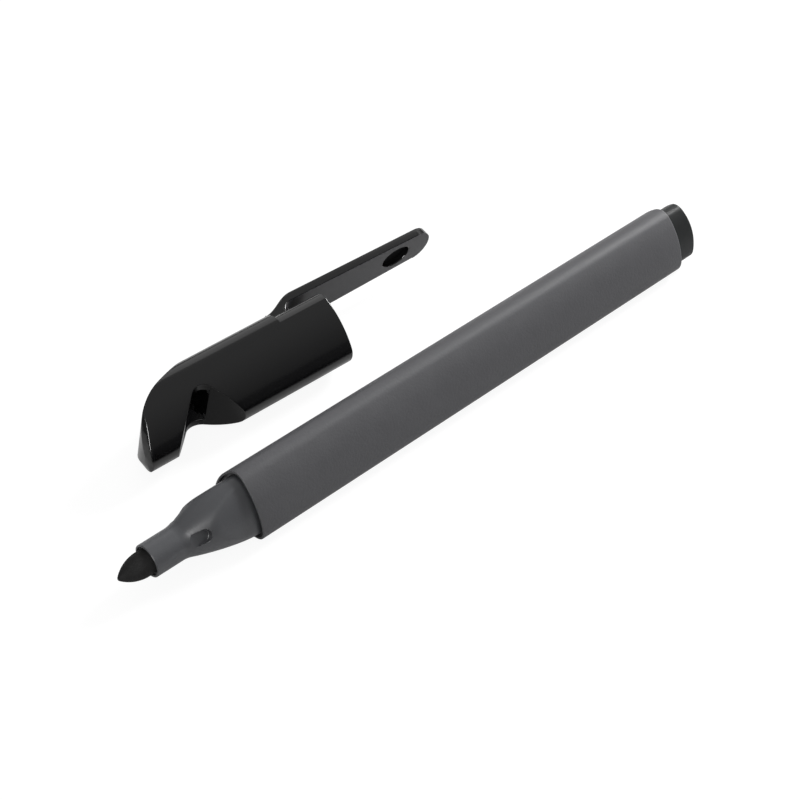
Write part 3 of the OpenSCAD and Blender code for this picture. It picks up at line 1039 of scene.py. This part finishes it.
def clip_clearance():
    """What is taken off the cap's side from the clip's root to the mouth."""
    bm = bmesh.new()
    middle = Matrix.Translation(((CLIP_ROOT_FRONT + OVER) / 2, 0, FAR / 2))
    sides = Matrix.Diagonal((OVER - CLIP_ROOT_FRONT, FAR, FAR, 1))
    bmesh.ops.create_cube(bm, size=1, matrix=middle @ sides)
    below = outline_prism(CLIP_ROOT_FRONT - OVER, 2 * OVER, CAP_STEP, math.pi, CLIP_ROOM)
    return boolean(finished_mesh(bm, "block"), ("DIFFERENCE", below))


def on_notch(point):
    """Whether a point lies on the notch's two sides or its round top."""
    out = Vector((point.x - NOTCH_CENTRE.x, 0, point.z - NOTCH_CENTRE.z))
    front = out.dot(side_direction(math.pi / 2 + NOTCH_FRONT_SLOPE))
    rear = out.dot(side_direction(math.pi / 2 - NOTCH_REAR_SLOPE))
    return min(abs(reach - NOTCH_RADIUS) for reach in (front, rear, out.length)) < ON_NOTCH


def at_step_end(point):
    """Whether a point lies where the step at the clip's root runs out into the cap's sides."""
    return abs(point.x - CLIP_ROOT_FRONT) < STEP_END_LENGTH and abs(point.y) > STEP_END_SIDE


def at_clip_end(point):
    """Whether a point lies on the lower edge of the clip's round end."""
    return point.x > CLIP_REACH - CLIP_END_WIDTH / 2 and abs(point.z - CLIP_UNDER) < ON_CLIP_EDGE


def on_plain_edge(point):
    """Whether a point of the cap lies on an edge that takes the cap's own rounding."""
    return not (on_notch(point) or at_step_end(point) or at_clip_end(point))


def round_sharp(bm, width, angle, wanted):
    """Rounds the wanted edges that turn by more than an angle, by their middles."""
    sharp = []
    for edge in bm.edges:
        middle = (edge.verts[0].co + edge.verts[1].co) / 2
        turns = len(edge.link_faces) == 2 and edge.calc_face_angle() > math.radians(angle)
        if turns and wanted(middle):
            sharp.append(edge)
    bmesh.ops.bevel(
        bm,
        geom=sharp,
        offset=width,
        offset_type="OFFSET",
        affect="EDGES",
        segments=3,
        profile=0.5,
        clamp_overlap=False,
        material=-1,
    )


def grid_cut(bm, spacing):
    """Cuts the faces along evenly spaced planes, so that long strips shade evenly."""
    for axis in (X_AXIS, Y_AXIS, Z_AXIS):
        reach = [vert.co.dot(axis) for vert in bm.verts]
        low, count = min(reach), int((max(reach) - min(reach)) / spacing)
        for step in range(1, count + 1):
            everything = bm.verts[:] + bm.edges[:] + bm.faces[:]
            place = axis * (low + step * spacing)
            bmesh.ops.bisect_plane(bm, geom=everything, dist=2e-6, plane_co=place, plane_no=axis)


class MARKER_OT_cap(bpy.types.Operator):
    """Builds the cap in one moulding: shell, beak, notch and clip."""

    bl_idname = "marker.cap"
    bl_label = "Cap"

    def execute(self, context):
        sizes, looks = context.scene.marker_sizes, context.scene.marker_finishes
        shell = boolean(
            outline_prism(-CAP_LENGTH - OVER, 0, CAP_STEP, math.pi),
            ("INTERSECT", side_view_prism(draw_beak)),
            ("INTERSECT", prism(draw_beak_plan, Z_AXIS * 2 * FAR)),
        )
        chamber = boolean(
            outline_prism(-CAP_LENGTH, OVER, CHAMBER_GROW, math.pi),
            ("INTERSECT", side_view_prism(draw_chamber)),
        )
        hollow = boolean(
            outline_prism(-CAP_LENGTH, 0, CHAMBER_GROW, math.pi),
            ("INTERSECT", side_view_prism(draw_beak_hollow)),
        )
        clip = boolean(
            side_view_prism(draw_clip),
            ("INTERSECT", prism(draw_clip_plan, Z_AXIS * FAR)),
            ("DIFFERENCE", prism(draw_pocket, Z_AXIS * CLIP_THICKNESS)),
        )
        mesh = boolean(
            shell,
            ("DIFFERENCE", clip_clearance()),
            ("UNION", clip),
            ("DIFFERENCE", side_view_prism(draw_notch)),
            ("DIFFERENCE", chamber),
            ("DIFFERENCE", hollow),
        )
        bm = bmesh.new()
        bm.from_mesh(mesh)
        bpy.data.meshes.remove(mesh)
        bmesh.ops.dissolve_degenerate(bm, dist=2e-6, edges=bm.edges)
        round_sharp(bm, sizes.cap_round, angle=15, wanted=on_plain_edge)
        round_sharp(bm, sizes.cut_round, angle=35, wanted=on_notch)
        grid_cut(bm, GRID_SPACING)
        bmesh.ops.dissolve_degenerate(bm, dist=4e-6, edges=bm.edges)
        bmesh.ops.recalc_face_normals(bm, faces=bm.faces)
        # Faces in the pocket and the notch get painted shade, faces under the clip and inside the cap get
        # painted light; the rest stays gloss black.
        for face in bm.faces:
            point = face.calc_center_median()
            places = (in_pocket(point), under_clip(point), in_cavity(face), on_notch(point))
            face.material_index = places.index(True) + 1 if any(places) else 0
        mesh = finished_mesh(bm, "cap_moulding", CAP_PLACE, math.radians(30))
        black, rough, satin_rough = looks.cap_colour, looks.cap_roughness, looks.satin_roughness
        gloss = {"grain": 900, "grain_depth": 0.0000002, "mottle": 0.06, "gloss_spread": 0.03}
        satin = {"grain": 900, "grain_depth": 0.000005, "mottle": 0.06, "gloss_spread": 0.04}
        pocket_shade_finish = {**satin, "grain_depth": 0.00001}
        plastic = moulded_plastic("cap_gloss", black, rough, **gloss)
        piece = add_piece("cap_moulding", mesh, plastic, "cap", "cap_black", "cap_shell")
        for finish in (
            # Painted shade: the pocket keeps the black but loses almost all its reflection, so that it looks
            # as dark as its shade.
            moulded_plastic("pocket_painted_shade", black, POCKET_ROUGHNESS, **pocket_shade_finish, specular=0.05),
            # Painted light: grey in place of the black under the clip, for the table's light reflected there.
            moulded_plastic("clip_satin_painted_light", looks.clip_painted_light, satin_rough, **satin, specular=0.3),
            # Painted light: grey in place of the black on the walls inside the cap.
            moulded_plastic("cavity_satin_painted_light", looks.cavity_painted_light, satin_rough, **satin),
            # Painted shade: the notch's faces reflect less than the rest of the black cap, so that the notch
            # looks darker, as its shade does.
            moulded_plastic("notch_painted_shade", black, rough, **gloss, specular=0.22),
        ):
            mesh.materials.append(finish)
        piece.modifiers.new("shading", "WEIGHTED_NORMAL").keep_sharp = True
        return {"FINISHED"}


class MARKER_OT_cap_liner(bpy.types.Operator):
    """Builds the seal inside the cap that takes the nib tube."""

    bl_idname = "marker.cap_liner"
    bl_label = "Cap liner"

    def execute(self, context):
        looks = context.scene.marker_finishes
        bore = TUBE_RADIUS + SEAL_CLEARANCE
        mouth, bore_end = FLARE_START - LINER_GAP, TUBE_END - LINER_GAP
        tip = NIB_TIP - NIB_ROOM
        collar = SIDE_DISTANCE + CHAMBER_GROW - SEAT_GAP
        points = (
            (tip, 0),
            (tip, LINER_TIP_RADIUS),
            (bore_end, bore),
            (mouth - LINER_EDGE, bore),
            (mouth, bore + LINER_EDGE),
            (mouth, collar - LINER_EDGE),
            (mouth - LINER_EDGE, collar),
            (mouth - COLLAR_LENGTH, collar),
            (mouth - COLLAR_LENGTH, bore + LINER_WALL),
            (bore_end - LINER_WALL, bore + LINER_WALL),
            (tip - LINER_WALL, LINER_TIP_RADIUS + LINER_WALL),
            (tip - LINER_WALL, 0),
        )
        plastic = moulded_plastic(
            "liner_satin",
            looks.liner_colour,
            LINER_ROUGHNESS,
            grain=2200,
            grain_depth=0.00001,
            mottle=0.04,
            gloss_spread=0.05,
        )
        mesh = spun_through(points, CAP_PLACE)
        add_piece("cap_seal", mesh, plastic, "cap", "liner_grey", "cap_liner")
        return {"FINISHED"}


class MARKER_OT_stage(bpy.types.Operator):
    """Sets the white table, the soft light and the camera."""

    bl_idname = "marker.stage"
    bl_label = "Stage"

    def execute(self, context):
        stage = context.scene.stage_settings
        self.table(stage)
        self.lamp("key", stage.key_power, *KEY_LAMP)
        self.lamp("back", stage.back_power, *BACK_LAMP)
        glint = self.lamp("glint", stage.glint_power, *GLINT_LAMP)
        glint.visible_diffuse = False
        self.sky(context.scene, stage)
        self.camera(context.scene, stage)
        context.scene.view_settings.view_transform = "Standard"
        return {"FINISHED"}

    def table(self, stage):
        """Adds the table, white to the camera and dimmer in gloss."""
        bm = bmesh.new()
        bmesh.ops.create_grid(bm, x_segments=4, y_segments=4, size=stage.table_width / 2)
        table = new_object("table", finished_mesh(bm, "table"))
        finish = Finish(bpy.data.materials.new("table_white"))
        path = finish.node("ShaderNodeLightPath")
        matt = finish.node("ShaderNodeBsdfDiffuse", None, {"Color": (*stage.table_colour, 1)})
        faint = finish.node("ShaderNodeBsdfDiffuse", None, {"Color": TABLE_FAINT})
        glow = finish.node("ShaderNodeEmission", None, {"Color": WHITE, "Strength": stage.table_glow})
        white = finish.node("ShaderNodeAddShader", None, {0: glow, 1: faint})
        sheen = finish.node("ShaderNodeEmission", None, {"Color": WHITE, "Strength": stage.table_mirror})
        mirrored = finish.node("ShaderNodeAddShader", None, {0: sheen, 1: matt})
        in_gloss = path.out("Is Glossy Ray") + path.out("Is Transmission Ray")
        unseen = finish.node("ShaderNodeMixShader", None, {0: in_gloss, 1: matt, 2: mirrored})
        mixed = finish.node("ShaderNodeMixShader", None, {0: path.out("Is Camera Ray"), 1: unseen, 2: white})
        finish.node("ShaderNodeOutputMaterial", None, {"Surface": mixed})
        table.data.materials.append(finish.owner)

    def lamp(self, name, power, width, height, place):
        """Adds a softbox that faces the origin."""
        light = bpy.data.lights.new(name, "AREA")
        light.energy = power
        light.shape = "RECTANGLE"
        light.size = width
        light.size_y = height
        lamp = bpy.data.objects.new(name, light)
        lamp.location = place
        lamp.rotation_euler = (-place).to_track_quat("-Z", "Y").to_euler()
        bpy.context.scene.collection.objects.link(lamp)
        return lamp

    def sky(self, scene, stage):
        """Sets surroundings that brighten upwards and are white to the camera."""
        scene.world = bpy.data.worlds.new("studio")
        finish = Finish(scene.world)
        direction = finish.node("ShaderNodeTexCoord").out("Generated")
        height = finish.node("ShaderNodeSeparateXYZ", None, {0: direction}).out("Z")
        low, high = stage.sky_low, stage.sky_high
        glow = finish.node("ShaderNodeValToRGB", {"stops": [(0.0, low), (SKY_TOP, high)]}, {0: height})
        path = finish.node("ShaderNodeLightPath")
        surround = finish.node("ShaderNodeBackground", None, {"Color": glow, "Strength": 1.0})
        white = finish.node("ShaderNodeBackground", None, {"Color": WHITE, "Strength": 1.0})
        mixed = finish.node("ShaderNodeMixShader", None, {0: path.out("Is Camera Ray"), 1: surround, 2: white})
        finish.node("ShaderNodeOutputWorld", None, {"Surface": mixed})

    def camera(self, scene, stage):
        """Sets the camera at the picture's view."""
        data = bpy.data.cameras.new("camera")
        data.lens = stage.lens
        data.sensor_width = SENSOR_WIDTH
        camera = bpy.data.objects.new("camera", data)
        forward = Vector(stage.camera_view).normalized()
        level = forward.cross(Z_AXIS).normalized()
        right = (Matrix.Rotation(-stage.roll, 3, forward) @ level).normalized()
        up = right.cross(forward)
        turn = Matrix((right, up, -forward)).transposed()
        camera.matrix_world = Matrix.Translation(stage.camera_place) @ turn.to_4x4()
        scene.collection.objects.link(camera)
        scene.camera = camera


class MARKER_PT_panel(bpy.types.Panel):
    """Lists the pieces and their settings in the sidebar."""

    bl_idname = "MARKER_PT_panel"
    bl_label = "Marker"
    bl_space_type = "VIEW_3D"
    bl_region_type = "UI"
    bl_category = "Marker"

    def draw(self, context):
        column = self.layout.column()
        for operator in OPERATORS:
            column.operator(operator.bl_idname)
        for group in ("marker_sizes", "marker_finishes", "stage_settings"):
            settings = getattr(context.scene, group)
            for name in settings.bl_rna.properties.keys():
                if name not in ("rna_type", "name"):
                    column.prop(settings, name)


OPERATORS = (
    MARKER_OT_barrel,
    MARKER_OT_nose,
    MARKER_OT_nib,
    MARKER_OT_ink_core,
    MARKER_OT_end_plug,
    MARKER_OT_cap,
    MARKER_OT_cap_liner,
    MARKER_OT_stage,
)
SETTINGS = (MarkerSizes, MarkerFinishes, StageSettings)


def register():
    for item in (*SETTINGS, *OPERATORS, MARKER_PT_panel):
        bpy.utils.register_class(item)
    bpy.types.Scene.marker_sizes = PointerProperty(type=MarkerSizes)
    bpy.types.Scene.marker_finishes = PointerProperty(type=MarkerFinishes)
    bpy.types.Scene.stage_settings = PointerProperty(type=StageSettings)


def unregister():
    for name in ("stage_settings", "marker_finishes", "marker_sizes"):
        delattr(bpy.types.Scene, name)
    for item in reversed((*SETTINGS, *OPERATORS, MARKER_PT_panel)):
        bpy.utils.unregister_class(item)


def main():
    """Builds every piece and the stage."""
    register()
    bpy.ops.marker.barrel()
    bpy.ops.marker.nose()
    bpy.ops.marker.nib()
    bpy.ops.marker.ink_core()
    bpy.ops.marker.end_plug()
    bpy.ops.marker.cap()
    bpy.ops.marker.cap_liner()
    bpy.ops.marker.stage()


if __name__ == "__main__":
    main()
